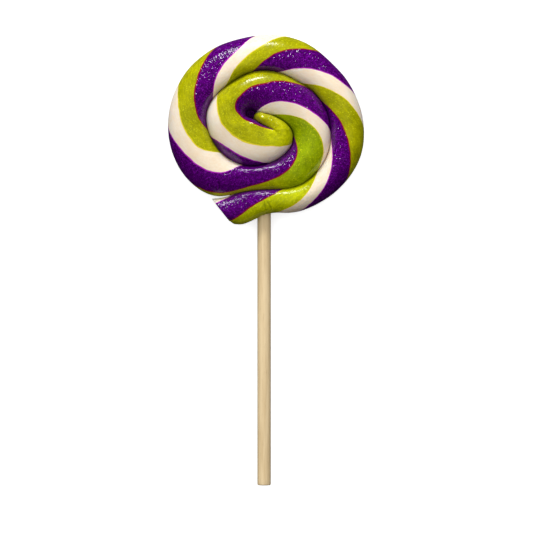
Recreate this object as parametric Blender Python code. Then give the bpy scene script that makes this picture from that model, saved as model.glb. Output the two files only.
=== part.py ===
"""A handmade lollipop that lies on its flat back: a striped sugar rope coiled round on a wooden stick.

The rope starts at its cut tail, beside the stick, and winds inwards anticlockwise for a little over
two turns. It then folds back on itself and ends as a short tongue beside the eye of the coil. Ribs
cross the rope every few degrees, each from a point of the rope's outer side to one of its inner
side. The inner side of one turn is the outer side of the next, so all turns are one fused solid with
a groove between them. X is right and Y is up in the shown view, and Z is the thickness.
"""
import math

import bmesh
import bpy
from mathutils import Matrix, Vector

MM = 0.001

# The stick, in millimetres. Its axis is placed from the middle of the coil.
STICK_DIAMETER = 5.0
STICK_OFFSET = 2.8
STICK_AXIS_HEIGHT = 5.0
STICK_END = -135.4
STICK_CHAMFER = 0.4
STICK_SIDES = 32
BORE_MOUTH = -44.0
BORE_END = -19.5
FIT_GAP = 0.3

# The ribs. A rib's place is its angle in degrees, counted along the rope from the right of the coil.
RIB_STEP = 5
RIBS_A_TURN = 360 // RIB_STEP
TAIL_PLACE = 241
LOOSE_TAIL_RIBS = 2
SLIT_START = 140
SLIT_END = 155
TONGUE_START = 167
TONGUE_TIP = 182
PIT_START = TONGUE_TIP - RIBS_A_TURN

# The groove between the turns, which is also the outline: place and distance from the middle.
GROOVE_RADIUS = (
    (241, 39.0), (246, 40.0), (254, 38.2), (270, 35.3), (278, 35.1), (293, 37.3), (310, 38.9), (325, 40.3),
    (340, 40.9), (353, 40.1), (380, 36.9), (399, 34.6), (419, 33.5), (435, 32.2), (465, 30.4), (520, 31.9),
    (578, 33.8), (592, 33.4), (604, 31.8), (614, 28.6), (625, 26.5), (635, 26.1), (670, 29.5), (685, 29.5),
    (720, 26.8), (750, 22.6), (765, 20.4), (812, 17.7), (843, 16.4), (900, 18.6), (925, 18.1), (975, 17.7),
    (1000, 17.0), (1042, 16.1), (1060, 14.2), (1076, 9.7), (1088, 6.4), (1110, 3.5), (1151, 2.4),
)
# How far round the groove's points run ahead of their ribs, as the rope's ends lie aslant.
GROOVE_LEAD = ((241, 14.6), (251, 12.0), (262, 8.6), (272, 4.6), (290, 0.0), (1076, 0.0), (1100, 4.0), (1151, 19.0))
# The loose corner of the tail, and the inner side of the rope at the eye: place, X and Y.
TAIL_CORNER = (Vector((-16.4, -29.3)), Vector((-13.1, -29.0)))
PIT_RIM = ((791, 0.0, 2.4), (831, -2.0, 3.6), (871, -3.7, 2.7), (905, -3.5, 1.2), (941, -1.0, -0.1))
SLIT_LINE = ((941, -1.0, -0.1), (975, 2.2, -2.2), (1016, 6.2, -4.1))

# Heights over the ground: place and height.
CREST_HEIGHT = (
    (241, 12.2), (270, 12.4), (335, 13.5), (590, 13.4), (625, 12.8), (680, 14.0), (860, 14.8), (1020, 15.0),
    (1120, 14.2), (1140, 12.8), (1151, 10.0),
)
GROOVE_HEIGHT = (
    (601, 6.0), (622, 8.9), (650, 8.9), (680, 8.2), (1000, 7.8), (1060, 7.6), (1090, 9.5), (1125, 10.0), (1151, 5.5),
)
SLIT_HEIGHT = ((941, 5.5), (950, 9.0), (990, 11.5), (1016, 14.0))
PIT_FLOOR = 5.5
RIM_HEIGHT = 6.0
BACK_GROOVE_HEIGHT = ((601, 6.0), (622, 1.0), (1000, 1.0), (1060, 0.0))
RIM_SHOULDER = 0.30
GROOVE_SHOULDER = 0.15

# The stripes: three colours, twice round the rope. The twist turns the borders across the rope.
STRIPE_WIDTH = 60.0
TWIST = (
    (241, 118), (248, 138), (260, 153), (275, 167), (290, 187), (297, 200), (315, 256), (330, 294), (352, 339),
    (375, 377), (390, 425), (420, 478), (435, 514), (457, 579), (480, 624), (510, 681), (540, 732), (585, 803),
    (615, 822), (645, 859), (675, 886), (700, 897), (717, 932), (730, 968), (750, 988), (775, 1023), (800, 1034),
    (855, 1055), (905, 1094),
)
# Past the last twist place the borders run on by themselves, as the folded end is pinched.
END_BORDERS = {
    16: ((905, 134), (941, 141), (985, 155), (1016, 166), (1050, 185)),
    17: ((905, 74), (941, 84), (985, 91), (1016, 82), (1035, 58), (1056, -10)),
    18: ((905, 14), (926, 27), (945, 47), (964, 50), (985, 41), (1005, 20), (1012, -10)),
}

# How finely a section is divided: across its top and, from a side to the flat, under it.
TOP_STEPS = 10
SHOULDER_ANGLES = (0, 45, 90)

COLOURS = {
    "purple_sugar": ((0.10, 0.004, 0.20), 0.25),
    "green_sugar": ((0.42, 0.45, 0.006), 0.28),
    "white_sugar": ((0.86, 0.78, 0.67), 0.35),
    "birch": ((0.72, 0.56, 0.36), 0.65),
}


def smooth_curve(stations):
    """A function through (place, value) stations that never swings past them."""
    places = [place for place, _ in stations]
    values = [value for _, value in stations]
    spans = [after - before for before, after in zip(places, places[1:])]
    rises = [(after - before) / span for before, after, span in zip(values, values[1:], spans)]
    slopes = [rises[0]]
    for before, after in zip(rises, rises[1:]):
        slopes.append(2.0 * before * after / (before + after) if before * after > 0.0 else 0.0)
    slopes.append(rises[-1])

    def value_at(place):
        place = min(max(place, places[0]), places[-1])
        part = max(i for i in range(len(spans)) if places[i] <= place)
        s = (place - places[part]) / spans[part]
        start = values[part] + (values[part + 1] - values[part]) * s * s * (3.0 - 2.0 * s)
        lean = slopes[part] * s * (1.0 - s) ** 2 - slopes[part + 1] * s * s * (1.0 - s)
        return start + spans[part] * lean

    return value_at


def smooth_path(stations):
    """A function through (place, x, y) stations."""
    x_at = smooth_curve([(place, x) for place, x, _ in stations])
    y_at = smooth_curve([(place, y) for place, _, y in stations])
    return lambda place: Vector((x_at(place), y_at(place)))


groove_radius = smooth_curve(GROOVE_RADIUS)
groove_lead = smooth_curve(GROOVE_LEAD)
pit_rim = smooth_path(PIT_RIM)
slit_line = smooth_path(SLIT_LINE)
crest_height = smooth_curve(CREST_HEIGHT)
groove_height = smooth_curve(GROOVE_HEIGHT)
slit_height = smooth_curve(SLIT_HEIGHT)
back_groove_height = smooth_curve(BACK_GROOVE_HEIGHT)
twist = smooth_curve(TWIST)
end_borders = {number: smooth_curve(stations) for number, stations in END_BORDERS.items()}


def place_of(rib):
    """The place of a rib along the rope, in degrees."""
    return TAIL_PLACE + RIB_STEP * rib


def groove_point(rib):
    """The point of the outer side where a rib starts, seen from above."""
    place = place_of(rib)
    angle = math.radians(place + groove_lead(place))
    return groove_radius(place) * Vector((math.cos(angle), math.sin(angle)))


def slit_rib(rib):
    """The rib of the slit's near side whose inner end a rib near the fold shares."""
    if rib <= SLIT_END:
        return rib
    return SLIT_END if rib < TONGUE_START else SLIT_START + TONGUE_TIP - rib


def stripe_borders(place):
    """The angles across the rope, from its outer edge over the top, of the numbered colour borders."""
    if place > TWIST[-1][0]:
        return {number: curve(place) for number, curve in end_borders.items()}
    turned = twist(place)
    first = math.ceil((turned - 180.0) / STRIPE_WIDTH)
    last = math.floor(turned / STRIPE_WIDTH)
    return {number: turned - STRIPE_WIDTH * number for number in range(first, last + 1)}


def stripe_colour(place, angle):
    """The material slot at an angle across the rope: purple, green, then white, outwards."""
    past = [number for number, border in stripe_borders(place).items() if border >= angle]
    if angle < 180.0 and past:
        return max(past) % 3
    return math.floor((twist(place) - angle) / STRIPE_WIDTH) % 3


class RopeMesh:
    """The mesh of the coiled rope, built rib by rib."""

    def __init__(self):
        self.bm = bmesh.new()
        self.joined_from = RIBS_A_TURN + LOOSE_TAIL_RIBS
        self.top_edge, self.back_edge = self.make_grooves()
        self.tail_edge = [self.vertex(point, RIM_HEIGHT) for point in TAIL_CORNER]
        self.pit_top, self.pit_back = self.make_line(pit_rim, PIT_START + 1, SLIT_START, lambda place: PIT_FLOOR)
        self.slit_top, self.slit_back = self.make_line(slit_line, SLIT_START, SLIT_END + 1, slit_height)

    def vertex(self, point, height):
        return self.bm.verts.new(Vector((point.x, point.y, height)) * MM)

    def make_grooves(self):
        """The points of the rope's outer side: one each at the free rim, a top and a back one inside."""
        top, back = [], []
        for rib in range(TONGUE_TIP + 1):
            inside = rib > self.joined_from
            height = groove_height(place_of(rib)) if inside else RIM_HEIGHT
            top.append(self.vertex(groove_point(rib), height))
            depth = back_groove_height(place_of(rib))
            back.append(self.vertex(groove_point(rib), depth) if inside else top[-1])
        return top, back

    def make_line(self, path, first, end, height):
        """Top and back points of the rope's inner side, at the pit or the slit."""
        ribs = range(first, end)
        top = {rib: self.vertex(path(place_of(rib)), height(place_of(rib))) for rib in ribs}
        back = {rib: self.vertex(path(place_of(rib)), 0.0) for rib in ribs}
        return top, back

    def inner_vertex(self, rib, back):
        """The vertex where a rib ends, on the top or the back."""
        if rib < LOOSE_TAIL_RIBS:
            return self.tail_edge[rib]
        if rib <= PIT_START:
            return (self.back_edge if back else self.top_edge)[rib + RIBS_A_TURN]
        if rib < SLIT_START:
            return (self.pit_back if back else self.pit_top)[rib]
        return (self.slit_back if back else self.slit_top)[slit_rib(rib)]

    def top_row(self, rib):
        """A rib's vertices over the top, their angles, and which of them lie on colour borders."""
        step = 180.0 / TOP_STEPS
        angles = [step * i for i in range(TOP_STEPS + 1)]
        on_border = {}
        for number, angle in stripe_borders(place_of(rib)).items():
            if 0.25 * step < angle < 180.0 - 0.25 * step:
                on_border[number] = min(max(round(angle / step), 1), TOP_STEPS - 1)
                angles[on_border[number]] = angle
        start, end = self.top_edge[rib], self.inner_vertex(rib, False)
        crest = crest_height(place_of(rib)) * MM
        row = [start]
        for angle in angles[1:-1]:
            across = (1.0 - math.cos(math.radians(angle))) / 2.0
            point = start.co.lerp(end.co, across)
            point.z += (crest - point.z) * math.sin(math.radians(angle))
            row.append(self.bm.verts.new(point))
        return row + [end], angles, on_border

    def back_row(self, rib):
        """A rib's vertices under the rope, from its outer side over the flat to its inner side."""
        start, end = self.back_edge[rib], self.inner_vertex(rib, True)
        outer_rim = rib <= self.joined_from
        inner_rim = rib < LOOSE_TAIL_RIBS
        outer, inner = [], []
        for angle in SHOULDER_ANGLES[1:]:
            sideways = 1.0 - math.cos(math.radians(angle))
            rise = 1.0 - math.sin(math.radians(angle))
            for edge, far, rim, side in ((start, end, outer_rim, outer), (end, start, inner_rim, inner)):
                shoulder = RIM_SHOULDER if rim else GROOVE_SHOULDER
                point = edge.co.lerp(far.co, shoulder * sideways)
                point.z = edge.co.z * rise
                side.append(self.bm.verts.new(point))
        return [start] + outer + inner[::-1] + [end]

    def face(self, corners, slot):
        """A face between corners, less those that meet in one vertex."""
        kept = [corner for i, corner in enumerate(corners) if corner is not corners[i - 1]]
        if len(kept) > 2:
            face = self.bm.faces.new(kept)
            face.material_index = slot
            face.smooth = True

    def cover_top(self, rib, row, next_row):
        """The top faces between two ribs, split where a colour border crosses them."""
        here, here_angles, here_border = row
        there, there_angles, there_border = next_row
        middle = place_of(rib) + RIB_STEP / 2
        moves = {(here_border[n], there_border[n]) for n in here_border if n in there_border}
        for i in range(TOP_STEPS):
            a = (here[i], here_angles[i])
            b = (there[i], there_angles[i])
            c = (there[i + 1], there_angles[i + 1])
            d = (here[i + 1], here_angles[i + 1])
            if (i, i + 1) in moves:
                pieces = ((a, b, c), (a, c, d))
            elif (i + 1, i) in moves:
                pieces = ((a, b, d), (b, c, d))
            else:
                pieces = ((a, b, c, d),)
            for piece in pieces:
                angle = sum(corner[1] for corner in piece) / len(piece)
                self.face([corner[0] for corner in piece], stripe_colour(middle, angle))

    def cover_back(self, rib, row, next_row):
        """The back faces between two ribs."""
        middle = place_of(rib) + RIB_STEP / 2
        steps = len(row) - 1
        for i in range(steps):
            angle = 360.0 - math.degrees(math.acos(1.0 - (2 * i + 1) / steps))
            self.face((row[i], row[i + 1], next_row[i + 1], next_row[i]), stripe_colour(middle, angle))

    def close_ends(self, first, last):
        """The cut of the tail, the blunt tip of the tongue, and the floor and back of the pit."""
        (tail_top, _, _), tail_back = first
        (tip_top, _, _), tip_back = last
        pit_ribs = range(PIT_START + 1, SLIT_START)
        self.face(tail_top + tail_back[-2:0:-1], 0)
        self.face(tip_top, 1)
        self.face([tip_top[0]] + [self.pit_top[rib] for rib in pit_ribs] + [tip_top[-1]], 0)
        self.face([self.pit_back[rib] for rib in pit_ribs] + tip_back[::-1], 0)

    def build(self):
        """All faces of the rope, as one closed mesh with its faces outwards."""
        ribs = [(self.top_row(rib), self.back_row(rib)) for rib in range(TONGUE_TIP + 1)]
        for rib, (this, following) in enumerate(zip(ribs, ribs[1:])):
            self.cover_top(rib, this[0], following[0])
            self.cover_back(rib, this[1], following[1])
        self.close_ends(ribs[0], ribs[-1])
        many_sided = [face for face in self.bm.faces if len(face.verts) > 4]
        bmesh.ops.triangulate(self.bm, faces=many_sided)
        bmesh.ops.recalc_face_normals(self.bm, faces=self.bm.faces)
        return self.bm


def make_material(name):
    """A plain glossy or dull material of one colour."""
    colour, roughness = COLOURS[name]
    material = bpy.data.materials.new(name)
    material.use_nodes = True
    shader = material.node_tree.nodes["Principled BSDF"]
    shader.inputs["Base Color"].default_value = (*colour, 1.0)
    shader.inputs["Roughness"].default_value = roughness
    material.diffuse_color = (*colour, 1.0)
    return material


def add_object(name, bm, materials):
    """An object of a finished mesh, with the materials of its slots."""
    mesh = bpy.data.meshes.new(name)
    bm.to_mesh(mesh)
    bm.free()
    for material in materials:
        mesh.materials.append(make_material(material))
    result = bpy.data.objects.new(name, mesh)
    bpy.context.collection.objects.link(result)
    return result


def rod_mesh(diameter, start, end, chamfer):
    """A rod along Y in the line of the stick, with a chamfer at its free end."""
    bm = bmesh.new()
    bmesh.ops.create_cone(
        bm, cap_ends=True, segments=STICK_SIDES, radius1=diameter / 2 * MM, radius2=diameter / 2 * MM,
        depth=(end - start) * MM,
    )
    if chamfer:
        rim = [edge for edge in bm.edges if all(vert.co.z < 0.0 for vert in edge.verts)]
        bmesh.ops.bevel(bm, geom=rim, offset=chamfer * MM, segments=1, affect="EDGES")
    for face in bm.faces:
        face.smooth = len(face.verts) == 4
    along_y = Matrix.Rotation(math.radians(-90.0), 4, "X")
    place = Matrix.Translation(Vector((STICK_OFFSET, (start + end) / 2, STICK_AXIS_HEIGHT)) * MM)
    bmesh.ops.transform(bm, matrix=place @ along_y, verts=bm.verts)
    return bm


def build_candy():
    """The coiled rope, with a blind bore for the stick."""
    candy = add_object("candy", RopeMesh().build(), ("purple_sugar", "green_sugar", "white_sugar"))
    candy.data.set_sharp_from_angle(angle=math.radians(50.0))
    bore = rod_mesh(STICK_DIAMETER + 2 * FIT_GAP, BORE_MOUTH, BORE_END, 0.0)
    cutter = add_object("bore_cutter", bore, ())
    cutter.display_type = "WIRE"
    cutter.hide_render = True
    cut = candy.modifiers.new("bore", "BOOLEAN")
    cut.operation = "DIFFERENCE"
    cut.object = cutter
    return candy, cutter


def build_stick():
    """The wooden stick, from just short of the bore's end to its free end."""
    rod = rod_mesh(STICK_DIAMETER, STICK_END, BORE_END - FIT_GAP, STICK_CHAMFER)
    return add_object("stick", rod, ("birch",))


def centre_on_origin(shown, moved):
    """Moves all meshes alike, so that the origin is under the middle of the shown objects."""
    points = [vert.co for item in shown for vert in item.data.vertices]
    middle = [(min(p[axis] for p in points) + max(p[axis] for p in points)) / 2 for axis in range(2)]
    for item in moved:
        item.data.transform(Matrix.Translation(Vector((-middle[0], -middle[1], 0.0))))


def main():
    """Clears the scene and builds the lollipop."""
    for item in list(bpy.data.objects):
        bpy.data.objects.remove(item)
    candy, cutter = build_candy()
    stick = build_stick()
    centre_on_origin((candy, stick), (candy, stick, cutter))


main()
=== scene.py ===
"""The looks of a handmade lollipop: a striped sugar rope, coiled on a birch stick and lying flat.

The rope is one closed skin. A top and a back sheet are laid over the same sections, which cross the
rope from its outer to its inner side, and are welded along the grooves. A section's place is its
angle in degrees, counted along the rope from the right of the coil. Sizes are in millimetres.
"""
from __future__ import annotations

import logging
import math
from dataclasses import dataclass
from enum import Enum

import bmesh
import bpy
from mathutils import Matrix, Vector, noise


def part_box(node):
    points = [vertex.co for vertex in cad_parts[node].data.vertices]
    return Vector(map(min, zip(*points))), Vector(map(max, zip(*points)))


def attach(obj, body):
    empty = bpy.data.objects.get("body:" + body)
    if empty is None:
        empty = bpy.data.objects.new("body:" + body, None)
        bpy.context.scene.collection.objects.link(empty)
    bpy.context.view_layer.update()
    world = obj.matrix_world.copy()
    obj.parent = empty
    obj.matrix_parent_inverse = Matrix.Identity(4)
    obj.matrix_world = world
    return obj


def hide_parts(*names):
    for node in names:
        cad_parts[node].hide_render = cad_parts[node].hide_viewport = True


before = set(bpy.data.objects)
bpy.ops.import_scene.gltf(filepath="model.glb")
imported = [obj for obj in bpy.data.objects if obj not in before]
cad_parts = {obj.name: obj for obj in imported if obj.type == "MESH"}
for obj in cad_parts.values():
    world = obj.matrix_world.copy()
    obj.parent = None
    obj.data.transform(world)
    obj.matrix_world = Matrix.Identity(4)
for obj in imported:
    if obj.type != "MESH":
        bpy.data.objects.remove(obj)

LOG = logging.getLogger("lollipop")
MM = 0.001
SHARP_ANGLE = 50.0
Pair = tuple[float, float]
Triple = tuple[float, float, float]
Rgba = tuple[float, float, float, float]
Stations = tuple[Pair, ...]
Socket = bpy.types.NodeSocket
Finish = bpy.types.Material
Piece = bpy.types.Object
Mesh = bmesh.types.BMesh
BLACK: Rgba = (0.0, 0.0, 0.0, 1.0)
MID_GREY: Rgba = (0.5, 0.5, 0.5, 1.0)
PURE_WHITE: Rgba = (1.0, 1.0, 1.0, 1.0)


class Sugar(Enum):
    """The three sugars, numbered in their order round the rope."""

    PURPLE = 0
    GREEN = 1
    WHITE = 2


def linear(red: int, green: int, blue: int) -> Rgba:
    """A display colour as the shader's own linear values.

    Args:
        red: Red, from 0 to 255.
        green: Green, from 0 to 255.
        blue: Blue, from 0 to 255.

    Returns:
        Red, green, blue and a full alpha.
    """
    def value(channel: int) -> float:
        """One channel, made linear."""
        share = channel / 255.0
        return share / 12.92 if share <= 0.04045 else ((share + 0.055) / 1.055) ** 2.4

    return value(red), value(green), value(blue), 1.0


@dataclass(frozen=True)
class Curve:
    """A value along the rope, smooth through its stations and never past them."""

    stations: Stations
    blur: float = 0.0

    def plain(self, place: float) -> float:
        """The curve straight through its stations.

        Args:
            place: Place along the rope.

        Returns:
            The value there, held level past either end.
        """
        stations = self.stations
        place = min(max(place, stations[0][0]), stations[-1][0])
        part = max(i for i in range(len(stations) - 1) if stations[i][0] <= place)
        (low, start), (high, end) = stations[part], stations[part + 1]
        span = high - low
        s = (place - low) / span
        lean = self.slope(part) * s * (1.0 - s) ** 2 - self.slope(part + 1) * s * s * (1.0 - s)
        return start + (end - start) * s * s * (3.0 - 2.0 * s) + span * lean

    def slope(self, station: int) -> float:
        """The curve's slope at a station.

        Args:
            station: The station's number.

        Returns:
            The mean of the slopes beside it, or none at a peak or a dip.
        """
        rises = [
            (self.stations[i + 1][1] - self.stations[i][1]) / (self.stations[i + 1][0] - self.stations[i][0])
            for i in (station - 1, station)
            if 0 <= i < len(self.stations) - 1
        ]
        if len(rises) == 1:
            return rises[0]
        before, after = rises
        return 2.0 * before * after / (before + after) if before * after > 0.0 else 0.0

    def at(self, place: float) -> float:
        """The curve with its bends eased.

        Args:
            place: Place along the rope.

        Returns:
            The mean over a short stretch, which shrinks to nothing at either end.
        """
        room = min(self.blur, place - self.stations[0][0], self.stations[-1][0] - place)
        if room <= 0.0:
            return self.plain(place)
        side = 3
        places = [place + room * step / side for step in range(-side, side + 1)]
        return sum(self.plain(near) for near in places) / len(places)


@dataclass(frozen=True)
class Section:
    """A section across the rope, from its outer side over the top to its inner side, and under it."""

    place: float
    outer: Vector
    inner: Vector
    outer_back: float
    inner_back: float
    crest: float
    outer_shoulder: float = 0.15
    inner_shoulder: float = 0.15
    lean: float = 0.0
    outer_dome: float = 0.4
    inner_dome: float = 0.4
    outer_edge: float = 6.0
    inner_edge: float = 6.0
    dome_power: float = 1.6
    shoulder_angle: float = 60.0

    def over(self, angle: float) -> Vector:
        """A point of the top.

        Args:
            angle: Degrees across the rope, 0 at the outer side and 180 at the inner one.

        Returns:
            The point, in millimetres.
        """
        side = math.cos(math.radians(angle))
        point = self.outer.lerp(self.inner, (1.0 - side) / 2.0)
        if side > self.lean:
            off, edge, dome = (side - self.lean) / (1.0 - self.lean), self.outer.z, self.outer_dome
            power = self.outer_edge
        else:
            off, edge, dome = (self.lean - side) / (1.0 + self.lean), self.inner.z, self.inner_dome
            power = self.inner_edge
        high = dome * (1.0 - off ** self.dome_power) + (1.0 - dome) * math.sqrt(max(1.0 - off ** power, 0.0))
        point.z = edge + (self.crest - edge) * high
        return point

    def under(self, angle: float) -> Vector:
        """A point of the back: a shoulder at either side and a flat between them.

        Args:
            angle: Degrees across the rope, 180 at the inner side and 360 at the outer one.

        Returns:
            The point, in millimetres.
        """
        outer = Vector((self.outer.x, self.outer.y, self.outer_back))
        inner = Vector((self.inner.x, self.inner.y, self.inner_back))
        way = (angle - 180.0) / self.shoulder_angle
        if way < 1.0:
            return self.shoulder(inner, outer, self.inner_shoulder, way)
        if way > 2.0:
            return self.shoulder(outer, inner, self.outer_shoulder, 3.0 - way)
        start = self.shoulder(inner, outer, self.inner_shoulder, 1.0)
        return start.lerp(self.shoulder(outer, inner, self.outer_shoulder, 1.0), way - 1.0)

    def shoulder(self, edge: Vector, far: Vector, width: float, way: float) -> Vector:
        """A point of a rounded shoulder.

        Args:
            edge: The side of the rope that it starts from.
            far: The other side.
            width: Its share of the rope's width.
            way: How far round it, from 0 at the side to 1 on the flat.

        Returns:
            The point, in millimetres.
        """
        turned = math.radians(90.0 * way)
        point = edge.lerp(far, width * (1.0 - math.cos(turned)))
        point.z = edge.z * (1.0 - math.sin(turned))
        return point


class Board:
    """The nodes of a material or of the room, with short ways to add what these share."""

    def __init__(self, owner: Finish | bpy.types.World, shader: str = "Principled BSDF") -> None:
        """Starts on the owner's nodes.

        Args:
            owner: The material or the room.
            shader: The name of its shader.
        """
        owner.use_nodes = True
        self.owner = owner
        self.tree = owner.node_tree
        self.shader = self.tree.nodes[shader]

    def feed(self, socket: Socket, value: object) -> None:
        """Links a socket to another, or sets it.

        Args:
            socket: The input socket.
            value: An output socket, or a plain value.
        """
        if isinstance(value, Socket):
            self.tree.links.new(value, socket)
        else:
            socket.default_value = value

    def put(self, name: str, value: object) -> None:
        """Feeds the shader's input of that name."""
        self.feed(self.shader.inputs[name], value)

    def node(self, kind: str, inputs: dict[int | str, object], **settings: object) -> bpy.types.Node:
        """Adds a node.

        Args:
            kind: The node's type, without its prefix.
            inputs: Values or sockets for its inputs.
            settings: Its other properties.

        Returns:
            The node.
        """
        made = self.tree.nodes.new("ShaderNode" + kind)
        for key, value in settings.items():
            setattr(made, key, value)
        for key, value in inputs.items():
            self.feed(made.inputs[key], value)
        return made

    def place(self) -> Socket:
        """The place on the piece, in its own metres."""
        return self.node("TexCoord", {}).outputs["Object"]

    def math(self, operation: str, first: object, second: object = 0.0) -> Socket:
        """A step of arithmetic with two values or sockets, by the step's name."""
        return self.node("Math", {0: first, 1: second}, operation=operation).outputs[0]

    def total(self, *parts: tuple[object, float]) -> Socket:
        """A weighted sum.

        Args:
            parts: Values or sockets, each with its weight.

        Returns:
            The sum's socket.
        """
        found = 0.0
        for value, weight in parts:
            found = self.node("Math", {0: value, 1: weight, 2: found}, operation="MULTIPLY_ADD").outputs[0]
        return found

    def apart(self, value: object, middle: float) -> Socket:
        """How far a value or socket is from a middle one."""
        return self.math("ABSOLUTE", self.math("SUBTRACT", value, middle))

    def scaled(self, vector: object, scale: Triple) -> Socket:
        """Coordinates stretched by a factor on each axis."""
        return self.node("Mapping", {"Vector": vector, "Scale": scale}).outputs[0]

    def noise(self, vector: object, scale: float, detail: float = 2.0, rough: float = 0.5) -> Socket:
        """Mottling near a half, by its blotches to a unit, its finer layers and their strength."""
        inputs = {"Vector": vector, "Scale": scale, "Detail": detail, "Roughness": rough}
        return self.node("TexNoise", inputs).outputs[0]

    def spread(self, value: object, low: float, high: float, to: Pair = (0.0, 1.0)) -> Socket:
        """A range from low to high stretched over another one, with soft ends."""
        inputs = {0: value, 1: low, 2: high, 3: to[0], 4: to[1]}
        return self.node("MapRange", inputs, interpolation_type="SMOOTHSTEP").outputs[0]

    def blend(self, share: object, first: object, second: object, mode: str = "MIX") -> Socket:
        """Two colours or sockets mixed, by the share of the second and the way they mix."""
        inputs = {0: share, 6: first, 7: second}
        return self.node("Mix", inputs, data_type="RGBA", blend_type=mode).outputs[2]

    def vector(self, operation: str, first: object, second: object = (0.0, 0.0, 0.0)) -> Socket:
        """A step of arithmetic with two vectors or sockets, by the step's name."""
        return self.node("VectorMath", {0: first, 1: second}, operation=operation).outputs[0]

    def relief(self, height: object, depth: float) -> None:
        """Raises the surface's grain, by its height and the depth in metres that a height of one is."""
        inputs = {"Height": height, "Distance": depth, "Strength": 1.0}
        self.put("Normal", self.node("Bump", inputs).outputs[0])


class SugarBoard(Board):
    """The sugar's board, with what its methods read at a point of the rope.

    Here is the place on the piece and rope its UV map, which counts the stripes across and the
    millimetres along. Stripe runs from 0 to 1 over the three sugars. Purple and white are one where
    the sugar is that colour.
    """

    def __init__(self, finish: PulledSugar, uv_name: str) -> None:
        """Starts the material.

        Args:
            finish: The finish, with its sizes.
            uv_name: The rope's UV map.
        """
        super().__init__(bpy.data.materials.new("pulled_sugar"))
        self.here = self.place()
        self.rope = self.node("UVMap", {}, uv_map=uv_name).outputs[0]
        self.across, self.along, _ = self.node("SeparateXYZ", {0: self.rope}).outputs
        wander = self.math("SUBTRACT", self.noise(self.here, finish.wander_count), 0.5)
        stripes = self.total((self.across, 1.0), (wander, finish.wander_width))
        self.stripe = self.math("FRACT", self.math("DIVIDE", stripes, float(len(Sugar))))
        self.purple = self.math("LESS_THAN", self.stripe, Sugar.GREEN.value / len(Sugar))
        self.white = self.math("GREATER_THAN", self.stripe, Sugar.WHITE.value / len(Sugar))
        self.fibres = self.noise(self.scaled(self.rope, finish.fibre_counts), 1.0, 3.0, 0.6)
        crystals = {"Vector": self.here, "Scale": finish.crystal_count}
        self.crystals = self.node("TexVoronoi", crystals).outputs["Color"]


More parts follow.
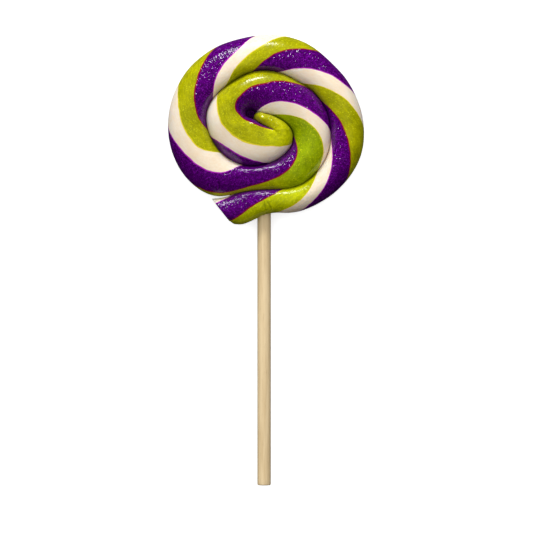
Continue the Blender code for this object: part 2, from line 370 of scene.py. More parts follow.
@dataclass(frozen=True)
class PulledSugar:
    """Glossy boiled sugar in three colours, with thin stained lines where they meet."""

    purple: Rgba = linear(85, 0, 111)
    purple_deep: Rgba = linear(60, 0, 80)
    # Lighter crystal specks in the purple, which also stand in for its glints: partly painted highlight.
    purple_speck_and_painted_glint: Rgba = linear(142, 22, 178)
    green: Rgba = linear(179, 177, 1)
    green_deep: Rgba = linear(142, 143, 1)
    green_speck: Rgba = linear(222, 226, 30)
    white: Rgba = linear(241, 229, 212)
    white_warm: Rgba = linear(236, 218, 192)
    magenta: Rgba = linear(178, 30, 186)
    wine: Rgba = linear(142, 14, 48)
    lemon: Rgba = linear(222, 204, 40)
    line: float = 0.024

    # Parts of the green: the millimetre along the rope, how far to either side, its tint. The first is a
    # greener tone of the sugar; the tail and the tongue are lightened, which is painted light.
    tone_and_painted_light_parts: tuple[tuple[float, float, Rgba], ...] = (
        (214.0, 26.0, (0.74, 1.0, 1.0, 1.0)),
        (20.0, 25.0, (1.26, 1.38, 1.0, 1.0)),
        (287.0, 9.0, (1.4, 1.45, 1.0, 1.0)),
    )

    # Fine creases: the millimetre along the rope, the slant, and the stripe counts it lies between.
    crease_lines: tuple[tuple[float, float, float, float], ...] = (
        (17.2, -1.0, 1.0, 1.9), (18.9, 1.5, 0.9, 1.8), (103.8, -5.9, 12.2, 12.95),
    )
    crease_width: Pair = (0.24, 0.04)
    # How dark the creases are painted: painted shade in the creases, over their real relief.
    crease_painted_shade: float = 0.42
    crease_bend: float = 1.6

    # Patterns, by their blotches to a metre.
    crystal_count: float = 3600.0
    grain_count: float = 1300.0
    mottle_count: float = 1100.0
    dimple_count: float = 420.0
    smudge_count: float = 330.0
    wander_count: float = 260.0
    cloud_count: float = 190.0
    wander_width: float = 0.1

    # Patterns that follow the rope, by their blotches to a stripe and to a millimetre.
    fibre_counts: Triple = (9.0, 0.22, 1.0)
    streak_counts: Triple = (16.0, 0.6, 1.0)
    ripple_counts: Triple = (2.4, 1.2, 1.0)
    pleat_counts: Triple = (2.6, 0.22, 1.0)
    bend_count: float = 0.9

    # The skin: the millimetres where its crinkles end and start again, its relief and its gloss.
    crinkled_tail: Pair = (55.0, 38.5)
    crinkled_tongue: Pair = (288.0, 293.0)
    skin_depth: float = 0.00006
    roughness: Pair = (0.13, 0.19)
    purple_polish: float = 0.06
    white_dullness: float = 0.18
    flank_dullness: float = 0.55
    refraction: float = 1.5
    shine: float = 0.32
    milky: float = 0.9
    milky_tint: Triple = (1.0, 0.9, 0.75)
    milky_depth: float = 0.005
    crystal_tilt: float = 2.3
    coat_share: float = 0.5
    coat_roughness: float = 0.07

    def material(self, uv_name: str) -> Finish:
        """Makes the finish.

        Args:
            uv_name: The UV map that counts the stripes across and the millimetres along the rope.

        Returns:
            The material.
        """
        board = SugarBoard(self, uv_name)
        creases = self.creases(board)
        # The colour is darkened in the creases: painted shade.
        shade = board.math("MULTIPLY", creases, self.crease_painted_shade)
        board.put("Base Color", board.blend(shade, self.colours(board), BLACK))
        self.gloss(board, creases)
        return board.owner

    def colours(self, board: SugarBoard) -> Socket:
        """The sugars' colours, their mottling and the lines between them.

        Args:
            board: The material's board.

        Returns:
            The colour's socket.
        """
        grain = board.noise(board.here, self.grain_count, 4.0, 0.8)
        cloud = board.noise(board.here, self.cloud_count, 3.0, 0.55)
        streaks = board.noise(board.scaled(board.rope, self.streak_counts), 1.0, 3.0, 0.75)
        crystal = board.node("SeparateColor", {0: board.crystals}).outputs[2]
        mixed = board.total((board.fibres, 0.2), (streaks, 0.3), (cloud, 0.25), (grain, 0.25))
        mixed = board.spread(mixed, 0.40, 0.60)
        green = board.blend(mixed, self.green, self.green_deep)
        # A greener tone in one part, and painted light that lightens the tail and the tongue.
        for middle, reach, tint in self.tone_and_painted_light_parts:
            near = board.spread(board.apart(board.along, middle), reach, reach * 0.3)
            green = board.blend(near, green, tint, "MULTIPLY")
        green = board.blend(board.spread(crystal, 0.86, 1.0, (0.0, 0.6)), green, self.green_speck)
        cream = board.blend(mixed, self.white, self.white_warm)
        mottle = board.spread(board.noise(board.here, self.mottle_count, 3.0, 0.7), 0.38, 0.62)
        violet = board.blend(mottle, self.purple_deep, self.purple)
        # Lighter specks on the purple: partly painted glints.
        violet = board.blend(board.spread(crystal, 0.76, 1.0, (0.0, 0.75)), violet, self.purple_speck_and_painted_glint)
        plain = board.blend(board.white, board.blend(board.purple, green, violet), cream)
        plain = board.blend(board.spread(grain, 0.3, 0.7, (0.0, 0.3)), plain, MID_GREY, "SOFT_LIGHT")
        stains = (
            (Sugar.PURPLE.value, self.magenta, 0.85),
            (Sugar.GREEN.value, self.wine, 0.75),
            (Sugar.WHITE.value, self.lemon, 0.6),
            (len(Sugar), self.magenta, 0.3),
        )
        for border, tint, share in stains:
            width = self.line * share
            near = board.spread(board.apart(board.stripe, border / len(Sugar)), width, width * 0.5)
            plain = board.blend(near, plain, tint)
        return plain

    def creases(self, board: SugarBoard) -> Socket:
        """Fine creases across the rope, where the setting skin was bent. The material also darkens the
        colour in them, which is painted shade.

        Args:
            board: The material's board.

        Returns:
            The socket of a value that is one in a crease.
        """
        bend = board.noise(board.rope, self.bend_count, 1.0)
        found = 0.0
        for start, slant, low, high in self.crease_lines:
            line = board.total((board.along, 1.0), (board.across, slant), (bend, self.crease_bend))
            near = board.spread(board.apart(line, start), *self.crease_width)
            inside = board.spread(board.apart(board.across, (low + high) / 2.0), (high - low) / 2.0, 0.0)
            found = board.math("MAXIMUM", found, board.math("MULTIPLY", near, inside))
        return found

    def gloss(self, board: SugarBoard, creases: Socket) -> None:
        """Sets how the sugar shines, and its fine grain.

        Args:
            board: The material's board.
            creases: One in a crease.
        """
        upper = self.upper_side(board)
        flank = board.math("SUBTRACT", 1.0, upper)
        smudge = board.spread(board.noise(board.here, self.smudge_count, 3.0), 0.3, 0.7, self.roughness)
        dull = ((board.white, self.white_dullness), (flank, self.flank_dullness))
        rough = board.total((smudge, 1.0), (board.purple, -self.purple_polish), *dull)
        board.put("Roughness", rough)
        board.put("IOR", self.refraction)
        board.put("Specular IOR Level", self.shine)
        board.put("Subsurface Weight", board.math("MULTIPLY", board.white, self.milky))
        board.put("Subsurface Radius", self.milky_tint)
        board.put("Subsurface Scale", self.milky_depth)
        purple_top = board.math("MULTIPLY", board.purple, upper)
        board.relief(self.skin(board, creases, purple_top), self.skin_depth)
        self.crystal_coat(board, board.math("MULTIPLY", purple_top, upper))

    def skin(self, board: SugarBoard, creases: Socket, purple_top: Socket) -> Socket:
        """The fine relief: grains, ripples, pleats on the tongue, fibres, dimples and creases.

        Args:
            board: The material's board.
            creases: One in a crease.
            purple_top: One on the upper side of the purple, which is the most uneven.

        Returns:
            The height's socket.
        """
        grains = board.noise(board.here, self.grain_count, 1.0)
        ripples = board.noise(board.scaled(board.rope, self.ripple_counts), 1.0, 1.0)
        dimples = board.noise(board.here, self.dimple_count)
        pleats = board.noise(board.scaled(board.rope, self.pleat_counts), 1.0, 1.0)
        tail = board.spread(board.along, *self.crinkled_tail, (0.18, 1.7))
        tongue = board.spread(board.along, *self.crinkled_tongue)
        uneven = board.total((purple_top, 2.1), (tail, 1.0), (tongue, 2.0))
        rough = board.math("MULTIPLY", board.total((grains, 0.9), (ripples, 1.7)), uneven)
        pleated = board.math("MULTIPLY", pleats, tongue)
        smooth = board.total((board.fibres, 0.8), (dimples, 1.0), (creases, -1.2))
        return board.total((rough, 1.0), (pleated, 14.0), (smooth, 1.0))

    def upper_side(self, board: SugarBoard) -> Socket:
        """Where the sugar faces up. Its flanks were rubbed dull on the slab and in the grooves.

        Args:
            board: The material's board.

        Returns:
            The socket of a value that is one on the upper side and low on the flanks.
        """
        normal = board.node("NewGeometry", {}).outputs["Normal"]
        rise = board.node("SeparateXYZ", {0: normal}).outputs[2]
        return board.spread(rise, 0.3, 0.75, (0.2, 1.0))

    def crystal_coat(self, board: SugarBoard, share: Socket) -> None:
        """Covers the purple with a clear coat of tilted crystals, which glint one by one.

        Args:
            board: The material's board.
            share: How much of the coat there is.
        """
        tilt = board.vector("SUBTRACT", board.crystals, (0.5, 0.5, 0.5))
        tilt = board.vector("MULTIPLY", tilt, board.vector("ABSOLUTE", tilt))
        tilt = board.vector("MULTIPLY", tilt, (self.crystal_tilt, self.crystal_tilt, 0.0))
        smooth = board.node("NewGeometry", {}).outputs["Normal"]
        board.put("Coat Normal", board.vector("NORMALIZE", board.vector("ADD", smooth, tilt)))
        board.put("Coat Weight", board.math("MULTIPLY", share, self.coat_share))
        board.put("Coat Roughness", self.coat_roughness)


@dataclass(frozen=True)
class BirchWood:
    """Pale turned birch, with its grain along the stick."""

    light: Rgba = linear(237, 212, 167)
    dark: Rgba = linear(217, 190, 144)
    pore: Rgba = linear(168, 138, 96)
    grain_count: float = 1500.0
    grain_stretch: Triple = (1.0, 0.035, 1.0)
    cloud_count: float = 160.0
    cloud_stretch: Triple = (1.0, 0.2, 1.0)
    pore_count: float = 3800.0
    pore_stretch: Triple = (1.0, 0.08, 1.0)
    roughness: Pair = (0.55, 0.72)
    grain_depth: float = 0.00004

    def material(self) -> Finish:
        """Makes the finish.

        Returns:
            The material.
        """
        board = Board(bpy.data.materials.new("birch_wood"))
        here = board.place()
        grain = board.noise(board.scaled(here, self.grain_stretch), self.grain_count, 4.0, 0.6)
        cloud = board.noise(board.scaled(here, self.cloud_stretch), self.cloud_count)
        pores = board.noise(board.scaled(here, self.pore_stretch), self.pore_count)
        shade = board.spread(board.total((grain, 0.6), (cloud, 0.4)), 0.36, 0.64)
        colour = board.blend(shade, self.light, self.dark)
        colour = board.blend(board.spread(pores, 0.62, 0.72, (0.0, 0.25)), colour, self.pore)
        board.put("Base Color", colour)
        board.put("Roughness", board.spread(grain, 0.3, 0.7, self.roughness))
        board.relief(board.math("ADD", grain, pores), self.grain_depth)
        return board.owner


@dataclass(frozen=True)
class PaleFloor:
    """A white matt table, lit a little from within."""

    colour: Rgba = linear(250, 250, 250)
    smudged: Rgba = linear(247, 247, 247)
    smudge_count: float = 4.0
    glow: float = 0.66
    roughness: float = 0.9

    def material(self) -> Finish:
        """Makes the finish.

        Returns:
            The material.
        """
        board = Board(bpy.data.materials.new("pale_floor"))
        patchy = board.spread(board.noise(board.place(), self.smudge_count), 0.3, 0.7, (0.0, 0.5))
        board.put("Base Color", board.blend(patchy, self.colour, self.smudged))
        board.put("Roughness", self.roughness)
        board.put("Emission Color", PURE_WHITE)
        board.put("Emission Strength", self.glow)
        return board.owner


def make_object(name: str, bm: Mesh, material: Finish) -> Piece:
    """Turns a finished mesh into an object.

    Args:
        name: The object's name.
        bm: The mesh, in metres in the row frame. It is freed.
        material: Its finish.

    Returns:
        The object, at the origin.
    """
    mesh = bpy.data.meshes.new(name)
    for face in bm.faces:
        face.smooth = True
    bm.to_mesh(mesh)
    bm.free()
    mesh.materials.append(material)
    mesh.set_sharp_from_angle(angle=math.radians(SHARP_ANGLE))
    made = bpy.data.objects.new(name, mesh)
    bpy.context.collection.objects.link(made)
    return made


@dataclass(frozen=True)
class SugarRope:
    """The striped rope: a cut tail beside the stick, two turns inwards, and a folded tongue at the eye."""

    middle: Vector
    finish: PulledSugar = PulledSugar()
    name: str = "sugar_rope"
    uv_name: str = "rope"

    # Places along the rope, and how finely it is divided. The cut's middle has the most edges.
    tail: float = 241.0
    joined: float = 251.0
    turn: float = 360.0
    pit: float = 791.0
    slit: float = 941.0
    slit_end: float = 1016.0
    tongue: float = 1076.0
    tip: float = 1151.0
    step: float = 1.25
    tip_rings: int = 8
    top_strips: int = 44
    back_strips: int = 18
    hub_edges: int = 8
    hub_reach: float = 0.2

    # The groove between the turns, which is also the outline, and how far its points run ahead.
    groove_radius: Curve = Curve((
        (241, 39), (246, 40), (254, 38.2), (270, 35.3), (278, 35.1), (293, 37.3), (310, 38.9),
        (325, 40.3), (340, 40.9), (353, 40.1), (380, 36.9), (399, 34.6), (419, 33.5), (435, 32.2),
        (465, 30.4), (520, 31.9), (578, 33.8), (592, 33.4), (604, 31.8), (614, 28.6), (625, 26.5),
        (635, 26.1), (670, 29.5), (685, 29.5), (720, 26.8), (750, 22.6), (765, 20.4), (812, 17.7),
        (843, 16.4), (900, 18.6), (925, 18.1), (975, 17.7), (1000, 17), (1042, 16.1), (1060, 14.2),
        (1076, 9.7), (1088, 6.4), (1110, 3.5), (1151, 2.4),
    ), 5.0)
    groove_lead: Curve = Curve((
        (241, 14.6), (251, 12), (262, 8.6), (272, 4.6), (290, 0), (1076, 0), (1100, 4), (1151, 19),
    ), 5.0)
    tail_corners: Stations = ((-16.4, -29.3), (-13.1, -29.0))
    pit_x: Curve = Curve(((791, 0), (831, -2), (871, -3.7), (905, -3.5), (941, -1)), 5.0)
    pit_y: Curve = Curve(((791, 2.4), (831, 3.6), (871, 2.7), (905, 1.2), (941, -0.1)), 5.0)
    slit_x: Curve = Curve(((941, -1), (975, 2.2), (1016, 6.2)))
    slit_y: Curve = Curve(((941, -0.1), (975, -2.2), (1016, -4.1)))

    # Heights over the ground.
    crest: Curve = Curve((
        (241, 12.2), (270, 12.4), (335, 13.5), (590, 13.4), (625, 12.8), (680, 14), (860, 14.8),
        (1020, 15), (1120, 14.2), (1140, 12.8), (1151, 10),
    ), 10.0)
    groove: Curve = Curve((
        (611, 6), (622, 8.9), (650, 8.9), (680, 8.2), (1000, 7.8), (1060, 7.6), (1090, 9.5), (1125, 10),
        (1151, 5.5),
    ))
    back_groove: Curve = Curve(((611, 6), (622, 1), (1000, 1), (1060, 0)))
    slit_height: Curve = Curve(((941, 3.5), (952, 8.5), (990, 11.5), (1016, 14)))
    pit_floor: float = 3.5
    rim: float = 6.0
    outer_shoulder: Curve = Curve(((241, 0.3), (604, 0.3), (626, 0.15)))
    inner_shoulder: Curve = Curve(((241, 0.3), (249, 0.3), (266, 0.15)))
    tip_length: float = 0.5
    weld: float = 0.0005

    # The cut end's rounded edge and swell, then the hand work: how high it is, its two patterns by
    # their blotches to a millimetre, the finer one's share, and over what height it sets in.
    cut_edge: float = 0.4
    cut_swell: float = 0.2
    relief: float = 0.1
    broad_count: float = 0.11
    fine_count: float = 0.45
    fine_share: float = 0.35
    uneven_from: float = 1.0
    uneven_over: float = 4.0

    # The shape across: where the crest lies, from -1 at the inner side to 1 at the outer one, how
    # much of the drop to either side is a soft dome, and how late the rest falls, as the flank.
    lean: Curve = Curve((
        (241, 0), (252, 0), (270, -0.05), (290, 0), (380, 0), (420, -0.2), (450, -0.45), (480, -0.45),
        (540, 0), (595, -0.1), (630, -0.5), (655, -0.25), (700, 0.1), (730, 0.2), (780, 0), (900, 0),
        (965, -0.5), (990, -0.5), (1015, -0.25), (1076, 0), (1151, 0),
    ), 8.0)
    outer_dome: Curve = Curve((
        (241, 0.25), (300, 0.25), (340, 0.4), (560, 0.4), (620, 0.35), (680, 0.4), (780, 0.44),
        (900, 0.4), (960, 0.27), (1020, 0.27), (1076, 0.4), (1151, 0.4),
    ), 8.0)
    inner_dome: Curve = Curve((
        (241, 0.4), (270, 0.35), (290, 0.44), (380, 0.3), (440, 0.2), (490, 0.2), (540, 0.4), (600, 0.35),
        (640, 0.3), (700, 0.5), (740, 0.5), (790, 0.45), (950, 0.12), (1010, 0.1), (1076, 0.4),
        (1151, 0.4),
    ), 8.0)
    outer_edge: Curve = Curve((
        (241, 4.6), (270, 4.4), (300, 3.4), (370, 4), (430, 5), (540, 5), (580, 3.5), (605, 3.5),
        (622, 6), (1151, 6),
    ))
    inner_edge: Curve = Curve(((241, 6), (790, 6), (960, 11), (1005, 11), (1040, 6), (1151, 6)))

    # The stripes: how much each border is eased, and its angles across the rope from the outer side.
    # Borders take turns between purple and white, green and purple, and white and green.
    stripe_width: float = 60.0
    hidden_twist: float = 1.6
    border_gap: float = 5.0
    even_part: float = 12.0
    border_angles: tuple[Curve, ...] = tuple(Curve(stations, blur) for blur, stations in (
        (4.0, ((241, 126), (247, 147), (253, 166), (257, 180))),
        (3.0, (
            (241, 35), (250, 64.5), (256, 76), (267, 90), (272, 99), (280, 116), (286, 139), (293, 180),
        )),
        (4.0, ((278, 0), (282, 24), (290, 56), (303, 94), (315, 141), (323, 180))),
        (4.0, ((294, 0), (300, 36), (315, 80), (330, 121), (343, 161), (349, 180))),
        (4.0, ((323, 0), (330, 41), (344, 84), (358, 114), (370, 147), (378, 180))),
        (4.0, ((353, 0), (360, 36), (370, 66), (380, 98), (390, 131), (400, 180))),
        (4.0, ((371, 0), (380, 43), (391, 68), (405, 100), (417, 137), (427, 180))),
        (4.0, ((404, 0), (412, 41), (427, 79), (438, 108), (450, 151), (456, 180))),
        (4.0, ((428, 0), (435, 37), (447, 74), (464, 107), (480, 135), (498, 180))),
        (4.0, ((448, 0), (457, 45), (470, 77), (488, 101), (502, 127), (510, 148), (517, 180))),
        (4.0, ((476, 0), (487, 38), (503, 70), (525, 104), (540, 131), (548, 151), (554, 180))),
        (4.0, ((512, 0), (522, 40), (536, 66), (555, 91), (568, 108), (580, 147), (586, 180))),
        (4.0, ((541, 0), (554, 42), (568, 67), (585, 85), (597, 103), (607, 136), (615, 180))),
        (4.0, (
            (583, 0), (592, 26), (606, 37), (621, 47), (640, 70), (658, 93), (675, 111), (690, 146),
            (699, 180),
        )),
        (4.0, ((675, 0), (684, 24), (697, 48), (712, 79), (722, 103), (729, 134), (736, 180))),
        (4.0, ((708, 0), (715, 33), (725, 61), (740, 83), (756, 104), (779, 142), (800, 180))),
        (4.0, (
            (744, 0), (757, 27), (775, 50), (796, 71), (828, 85), (856, 98), (880, 114), (903, 134),
            (941, 144), (985, 155), (1016, 166), (1050, 185), (1151, 200),
        )),
        (4.0, (
            (863, 0), (871, 33), (884, 56), (902, 71), (941, 84), (985, 91), (1008, 88), (1021, 78),
            (1033, 60), (1056, -10), (1151, -20),
        )),
        (4.0, (
            (918, 0), (926, 29), (937, 43), (956, 50), (975, 48), (988, 40), (1003, 20), (1012, -10),
            (1151, -40),
        )),
    ))

    def groove_point(self, place: float) -> Vector:
        """The outer side of the rope, seen from above.

        Args:
            place: Place along the rope.

        Returns:
            The point, with no height.
        """
        angle = math.radians(place + self.groove_lead.at(place))
        radius = self.groove_radius.at(place)
        return Vector((radius * math.cos(angle), radius * math.sin(angle), 0.0))

    def groove_heights(self, place: float) -> Pair:
        """How high the outer side lies on the top and on the back.

        Args:
            place: Place along the rope.

        Returns:
            Both heights, which are the same along the free rim.
        """
        if place <= self.joined + self.turn:
            return self.rim, self.rim
        return self.groove.at(place), self.back_groove.at(place)

    def slit_point(self, place: float) -> tuple[Vector, float, float]:
        """A point of the slit that the tongue is folded over, and its heights on the top and the back."""
        point = Vector((self.slit_x.at(place), self.slit_y.at(place), 0.0))
        return point, self.slit_height.at(place), 0.0

    def inner_side(self, place: float) -> tuple[Vector, float, float]:
        """The inner side of the rope, which is shared with the next turn where there is one.

        Args:
            place: Place along the rope.

        Returns:
            The point, and its heights on the top and the back.
        """
        if place < self.joined:
            start, corner = (Vector((*corner, 0.0)) for corner in self.tail_corners)
            end = self.groove_point(self.joined + self.turn)
            way = (place - self.tail) / (self.joined - self.tail)
            left = 1 - way
            point = start * left * (1 - 2 * way) + corner * 4 * way * left + end * way * (2 * way - 1)
            return point, self.rim, self.rim
        if place <= self.pit:
            return self.groove_point(place + self.turn), *self.groove_heights(place + self.turn)
        if place < self.slit:
            return Vector((self.pit_x.at(place), self.pit_y.at(place), 0.0)), self.pit_floor, 0.0
        if place < self.tongue:
            return self.slit_point(min(place, self.slit_end))
        return self.slit_point(self.slit + self.tip - place)

    def section(self, place: float) -> Section:
        """The section at a place.

        Args:
            place: Place along the rope.

        Returns:
            The section.
        """
        outer = self.groove_point(place)
        inner, inner_top, inner_back = self.inner_side(place)
        outer_top, outer_back = self.groove_heights(place)
        inner.z, outer.z = inner_top, outer_top
        shape = (
            self.crest, self.outer_shoulder, self.inner_shoulder, self.lean,
            self.outer_dome, self.inner_dome, self.outer_edge, self.inner_edge,
        )
        return Section(place, outer, inner, outer_back, inner_back, *(curve.at(place) for curve in shape))

    def tip_section(self, ring: int) -> Section:
        """A section of the tongue's rounded tip.

        Args:
            ring: Its number, up to the last, which is a point.

        Returns:
            The section.
        """
        last = self.section(self.tip)
        turned = math.radians(90.0 * ring / self.tip_rings)
        middle = (last.outer + last.inner) / 2.0
        half = (last.outer - last.inner) / 2.0
        ahead = Vector((-half.y, half.x, 0.0)).normalized() * self.tip_length * math.sin(turned)
        narrowed = half * math.cos(turned)
        crest = self.pit_floor + (last.crest - self.pit_floor) * math.cos(turned)
        return Section(
            self.tip, middle + narrowed + ahead, middle - narrowed + ahead, 0.0, 0.0, crest,
            lean=last.lean, outer_dome=last.outer_dome, inner_dome=last.inner_dome,
        )

    def border_angle(self, number: int, place: float) -> float:
        """Where one colour border lies, or would lie if it showed.

        Args:
            number: Its number, counted from the tail.
            place: Place along the rope.

        Returns:
            Its angle across the rope, which is past either side where it isn't on the top.
        """
        last = len(self.border_angles) - 1
        known = min(max(number, 0), last)
        curve = self.border_angles[known]
        start, end = curve.stations[0][0], curve.stations[-1][0]
        beyond = min(place - start, 0.0) + max(place - end, 0.0)
        return curve.at(place) + self.hidden_twist * beyond - self.stripe_width * (number - known)

    def borders(self, place: float) -> list[Pair]:
        """Where the colour borders cross the rope.

        Args:
            place: Place along the rope.

        Returns:
            Angles across the rope, rising, each with the stripe count there.
        """
        falling = []
        for number in range(-3, len(self.border_angles) + 3):
            angle = self.border_angle(number, place)
            if falling:
                angle = min(angle, falling[-1][0] - self.border_gap)
            falling.append((angle, float(number)))
        rising = falling[::-1]
        eased = []
        near = self.even_part
        for (angle, count), (further, _) in zip(rising, rising[1:]):
            eased.append((angle, count))
            if further - angle > 3.0 * near:
                eased.append((angle + near, count - near / self.stripe_width))
                eased.append((further - near, count - 1.0 + near / self.stripe_width))
        return eased + rising[-1:]

    def stripe_count(self, borders: list[Pair], angle: float) -> float:
        """How many stripes are passed at an angle across the rope.

        Args:
            borders: The borders at that place.
            angle: Degrees across the rope. Past 180 it is on the back, where the stripes are even.

        Returns:
            The count, whole at a border.
        """
        if angle > 180.0:
            inner = self.stripe_count(borders, 180.0)
            outer = self.stripe_count(borders, 0.0) - 360.0 / self.stripe_width
            return inner + (outer - inner) * (angle - 180.0) / 180.0
        for (low, start), (high, end) in zip(borders, borders[1:]):
            if angle <= high:
                return start + (end - start) * (angle - low) / max(high - low, 0.1)
        return borders[-1][1]

    def lay_sheet(self, bm: Mesh, sections: list[Section], strips: int, first: float, last: float) -> None:
        """Lays one sheet of the skin over the sections.

        Args:
            bm: The mesh that it joins.
            sections: The sections along the rope.
            strips: How many strips it has across.
            first: The angle across the rope where it starts.
            last: The angle where it ends.
        """
        made = bmesh.ops.create_grid(bm, x_segments=len(sections) - 1, y_segments=strips, size=0.5)
        uv = bm.loops.layers.uv[self.uv_name]
        borders = [self.borders(section.place) for section in sections]
        lengths = [0.0]
        for before, after in zip(sections, sections[1:]):
            lengths.append(lengths[-1] + (after.over(90.0) - before.over(90.0)).length)
        for vert in made["verts"]:
            column = round((vert.co.x + 0.5) * (len(sections) - 1))
            angle = first + (last - first) * (vert.co.y + 0.5)
            section = sections[column]
            vert.co = section.over(angle) if last <= 180.0 else section.under(angle)
            for loop in vert.link_loops:
                loop[uv].uv = (self.stripe_count(borders[column], angle), lengths[column])

    def close_ends(self, bm: Mesh) -> None:
        """Fills the tail's cut end, the pit's floor and the back under it.

        Args:
            bm: The welded sheets.
        """
        uv = bm.loops.layers.uv[self.uv_name]
        rims = [edge for edge in bm.edges if edge.is_boundary]
        filled = bmesh.ops.holes_fill(bm, edges=rims, sides=0)["faces"]
        cut = max(filled, key=lambda face: face.calc_center_median().length)
        for face in filled:
            for loop in face.loops:
                loop[uv].uv = (0.5, 0.0)
        bmesh.ops.recalc_face_normals(bm, faces=bm.faces)
        around = bmesh.ops.inset_region(
            bm, faces=[cut], thickness=self.cut_edge, depth=self.cut_swell, use_even_offset=True
        )
        fans = bmesh.ops.poke(bm, faces=[cut])
        self.stripe_cut(around["faces"] + fans["faces"], uv)
        bmesh.ops.triangulate(bm, faces=[face for face in bm.faces if len(face.verts) > 4])

    def stripe_cut(self, faces: list[bmesh.types.BMFace], uv: bmesh.types.BMLayerItem) -> None:
        """Carries the stripes over the cut end, as sectors round its middle.

        Args:
            faces: The faces of the cut.
            uv: The layer of the rope's coordinates.
        """
        section = self.section(self.tail)
        borders = self.borders(self.tail)
        middle = (section.outer + section.inner) / 2.0
        side = (section.outer - section.inner).normalized()
        reach = (section.outer - section.inner).length / 2.0

        def angle_of(point: Vector) -> float:
            """The angle across the rope of a point of the cut.

            Args:
                point: The point.

            Returns:
                Its angle in degrees, from 0 to 360.
            """
            out = (point - middle).dot(side) / reach
            up = (point.z - self.rim) / (section.crest - self.rim if point.z > self.rim else self.rim)
            return math.degrees(math.atan2(up, out)) % 360.0

        for face in faces:
            centre = angle_of(face.calc_center_median())
            for loop in face.loops:
                angle = angle_of(loop.vert.co)
                angle += 360.0 * round((centre - angle) / 360.0)
                off = abs((loop.vert.co - middle).dot(side))
                if off < self.hub_reach * reach and len(loop.vert.link_edges) > self.hub_edges:
                    angle = centre
                loop[uv].uv = (self.stripe_count(borders, min(max(angle, 0.0), 360.0)), 0.0)

    def knead(self, bm: Mesh) -> None:
        """Gives the top the slight unevenness of hand work, and leaves the back flat.

        Args:
            bm: The closed skin.
        """
        bm.normal_update()
        moves = []
        for vert in bm.verts:
            share = min(max((vert.co.z - self.uneven_from) / self.uneven_over, 0.0), 1.0)
            broad = noise.noise(vert.co * self.broad_count)
            fine = noise.noise(vert.co * self.fine_count)
            moves.append(vert.normal * share * self.relief * (broad + self.fine_share * fine))
        for vert, move in zip(bm.verts, moves):
            vert.co += move

    def build(self) -> Piece:
        """Builds and dresses the rope.

        Returns:
            The finished piece.
        """
        steps = round((self.tip - self.tail) / self.step)
        sections = [self.section(self.tail + self.step * i) for i in range(steps + 1)]
        tips = [self.tip_section(ring) for ring in range(1, self.tip_rings + 1)]
        bm = bmesh.new()
        bm.loops.layers.uv.new(self.uv_name)
        self.lay_sheet(bm, sections + tips, self.top_strips, 0.0, 180.0)
        self.lay_sheet(bm, sections, self.back_strips, 180.0, 360.0)
        bmesh.ops.remove_doubles(bm, verts=bm.verts, dist=self.weld)
        self.close_ends(bm)
        bmesh.ops.recalc_face_normals(bm, faces=bm.faces)
        self.knead(bm)
        placed = Matrix.Translation(self.middle) @ Matrix.Scale(MM, 4)
        bmesh.ops.transform(bm, matrix=placed, verts=bm.verts)
        open_edges = sum(1 for edge in bm.edges if not edge.is_manifold)
        LOG.info("%s: %d faces, %d open edges", self.name, len(bm.faces), open_edges)
        rope = make_object(self.name, bm, self.finish.material(self.uv_name))
        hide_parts("candy")
        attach(rope, "root")
        return rope


@dataclass(frozen=True)
class BirchStick:
    """The round wooden stick, from inside the sugar to its eased free end."""

    finish: BirchWood = BirchWood()
    name: str = "birch_stick"
    sides: int = 64
    end_round: float = 0.45
    round_steps: int = 4
    level: float = 1e-6
    pieces: int = 60
    unevenness: float = 0.02
    swell_counts: Triple = (300.0, 60.0, 300.0)

    def build(self) -> Piece:
        """Builds and dresses the stick.

        Returns:
            The finished piece.
        """
        low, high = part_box("stick")
        size = high - low
        bm = bmesh.new()
        bmesh.ops.create_cone(
            bm, cap_ends=True, segments=self.sides, radius1=size.x / 2, radius2=size.x / 2, depth=size.y
        )
        along_y = Matrix.Translation((low + high) / 2) @ Matrix.Rotation(math.radians(-90.0), 4, "X")
        bmesh.ops.transform(bm, matrix=along_y, verts=bm.verts)
        rims = [edge for edge in bm.edges if abs(edge.verts[0].co.y - edge.verts[1].co.y) < self.level]
        bmesh.ops.bevel(
            bm, geom=rims, offset=self.end_round * MM,
            affect="EDGES", segments=self.round_steps, profile=0.5, material=-1,
        )
        for i in range(1, self.pieces):
            cut_at = Vector((0.0, low.y + size.y * i / self.pieces, 0.0))
            everything = bm.verts[:] + bm.edges[:] + bm.faces[:]
            bmesh.ops.bisect_plane(bm, geom=everything, plane_co=cut_at, plane_no=(0.0, 1.0, 0.0))
        bm.normal_update()
        for vert in bm.verts:
            swell = noise.noise(Vector([at * count for at, count in zip(vert.co, self.swell_counts)]))
            vert.co -= vert.normal * self.unevenness * MM * (0.5 + 0.5 * swell)
        bmesh.ops.recalc_face_normals(bm, faces=bm.faces)
        LOG.info("%s: %d faces", self.name, len(bm.faces))
        stick = make_object(self.name, bm, self.finish.material())
        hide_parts("stick")
        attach(stick, "root")
        return stick


@dataclass(frozen=True)
class SoftBox:
    """An oblong lamp that faces the sweet."""

    name: str
    azimuth: float
    elevation: float
    distance: float
    width: float
    height: float
    power: float

    def build(self, target: Vector, lit: list[Piece]) -> None:
        """Hangs the lamp.

        Args:
            target: What it faces.
            lit: The pieces that it lights, and no others.
        """
        lamp = bpy.data.lights.new(self.name, "AREA")
        lamp.shape = "RECTANGLE"
        lamp.size, lamp.size_y = self.width, self.height
        lamp.energy = self.power
        made = bpy.data.objects.new(self.name, lamp)
        shown = bpy.data.collections.new(self.name)
        for piece in lit:
            shown.objects.link(piece)
        made.light_linking.receiver_collection = shown
        bpy.context.collection.objects.link(made)
        turned, raised = math.radians(self.azimuth), math.radians(self.elevation)
        level = math.cos(raised)
        away = Vector((math.cos(turned) * level, math.sin(turned) * level, math.sin(raised)))
        made.location = target + away * self.distance
        made.rotation_euler = away.to_track_quat("Z", "Y").to_euler()


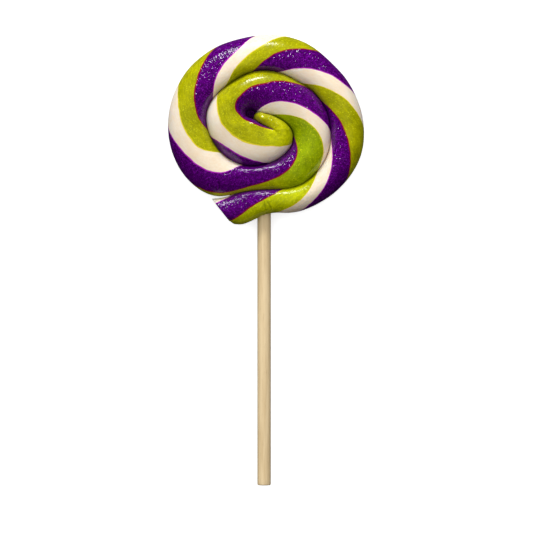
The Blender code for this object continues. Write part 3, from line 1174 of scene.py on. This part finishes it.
@dataclass(frozen=True)
class Studio:
    """A pale table, a lamp, a soft sky and a camera that looks straight down."""

    floor_size: float = 3.0
    floor_drop: float = 0.0002
    fill: float = 1.22
    low_fill: float = 0.03
    bright_side: Triple = (-0.12, 0.58, 0.8)
    bright_reach: Pair = (0.0, 0.85)
    lens: float = 200.0
    sensor: float = 36.0
    picture_width: float = 0.19721
    sharp_height: float = 0.006
    aim: Pair = (0.00018, -0.0024)
    clip: Pair = (0.05, 10.0)
    lamp: SoftBox = SoftBox("key_lamp", 99.0, 27.0, 0.9, 0.32, 0.165, 5.2)

    def build(self, target: Vector, pieces: list[Piece]) -> None:
        """Sets up the floor, the light and the camera.

        Args:
            target: The middle of the sweet.
            pieces: The pieces of the lollipop.
        """
        bm = bmesh.new()
        bmesh.ops.create_grid(bm, x_segments=2, y_segments=2, size=self.floor_size / 2)
        bmesh.ops.translate(bm, vec=(0.0, 0.0, -self.floor_drop), verts=bm.verts)
        table = make_object("table", bm, PaleFloor().material())
        table.visible_diffuse = False
        table.visible_glossy = False
        self.lamp.build(target, pieces)
        self.light_sky()
        self.place_camera()
        scene = bpy.context.scene
        scene.view_settings.view_transform = "Standard"
        scene.view_settings.look = "None"

    def light_sky(self) -> None:
        """Fills the room with soft light from above and one side, which no gloss mirrors."""
        world = bpy.data.worlds.new("room")
        board = Board(world, "Background")
        way = board.node("TexCoord", {}).outputs["Generated"]
        towards = board.node("VectorMath", {0: way, 1: self.bright_side}, operation="DOT_PRODUCT")
        ends = (self.fill * self.low_fill, self.fill)
        board.put("Color", PURE_WHITE)
        board.put("Strength", board.spread(towards.outputs["Value"], *self.bright_reach, ends))
        world.cycles_visibility.glossy = False
        bpy.context.scene.world = world

    def place_camera(self) -> None:
        """Hangs the camera over the sweet, with the photograph's framing."""
        camera = bpy.data.cameras.new("camera")
        camera.lens = self.lens
        camera.sensor_width = self.sensor
        camera.dof.use_dof = False
        made = bpy.data.objects.new("camera", camera)
        distance = self.picture_width * self.lens / self.sensor
        made.location = (*self.aim, self.sharp_height + distance)
        camera.clip_start, camera.clip_end = self.clip
        bpy.context.collection.objects.link(made)
        bpy.context.scene.camera = made


def coil_middle() -> Vector:
    """The middle of the coil, which the stick's axis and free end are placed from.

    Returns:
        The point, in metres in the row frame.
    """
    low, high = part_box("stick")
    stick_offset, stick_end = 2.8 * MM, -135.4 * MM
    return Vector(((low.x + high.x) / 2 - stick_offset, low.y - stick_end, 0.0))


def main() -> None:
    """Builds the lollipop and its studio, in order."""
    logging.basicConfig(level=logging.INFO, format="%(name)s: %(message)s")
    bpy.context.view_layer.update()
    middle = coil_middle()
    rope = SugarRope(middle).build()
    LOG.info("%s stands for the CAD sweet", rope.name)
    stick = BirchStick().build()
    LOG.info("%s stands for the CAD stick", stick.name)
    Studio().build(middle, [rope, stick])
    LOG.info("sizes written")


if __name__ == "__main__":
    main()
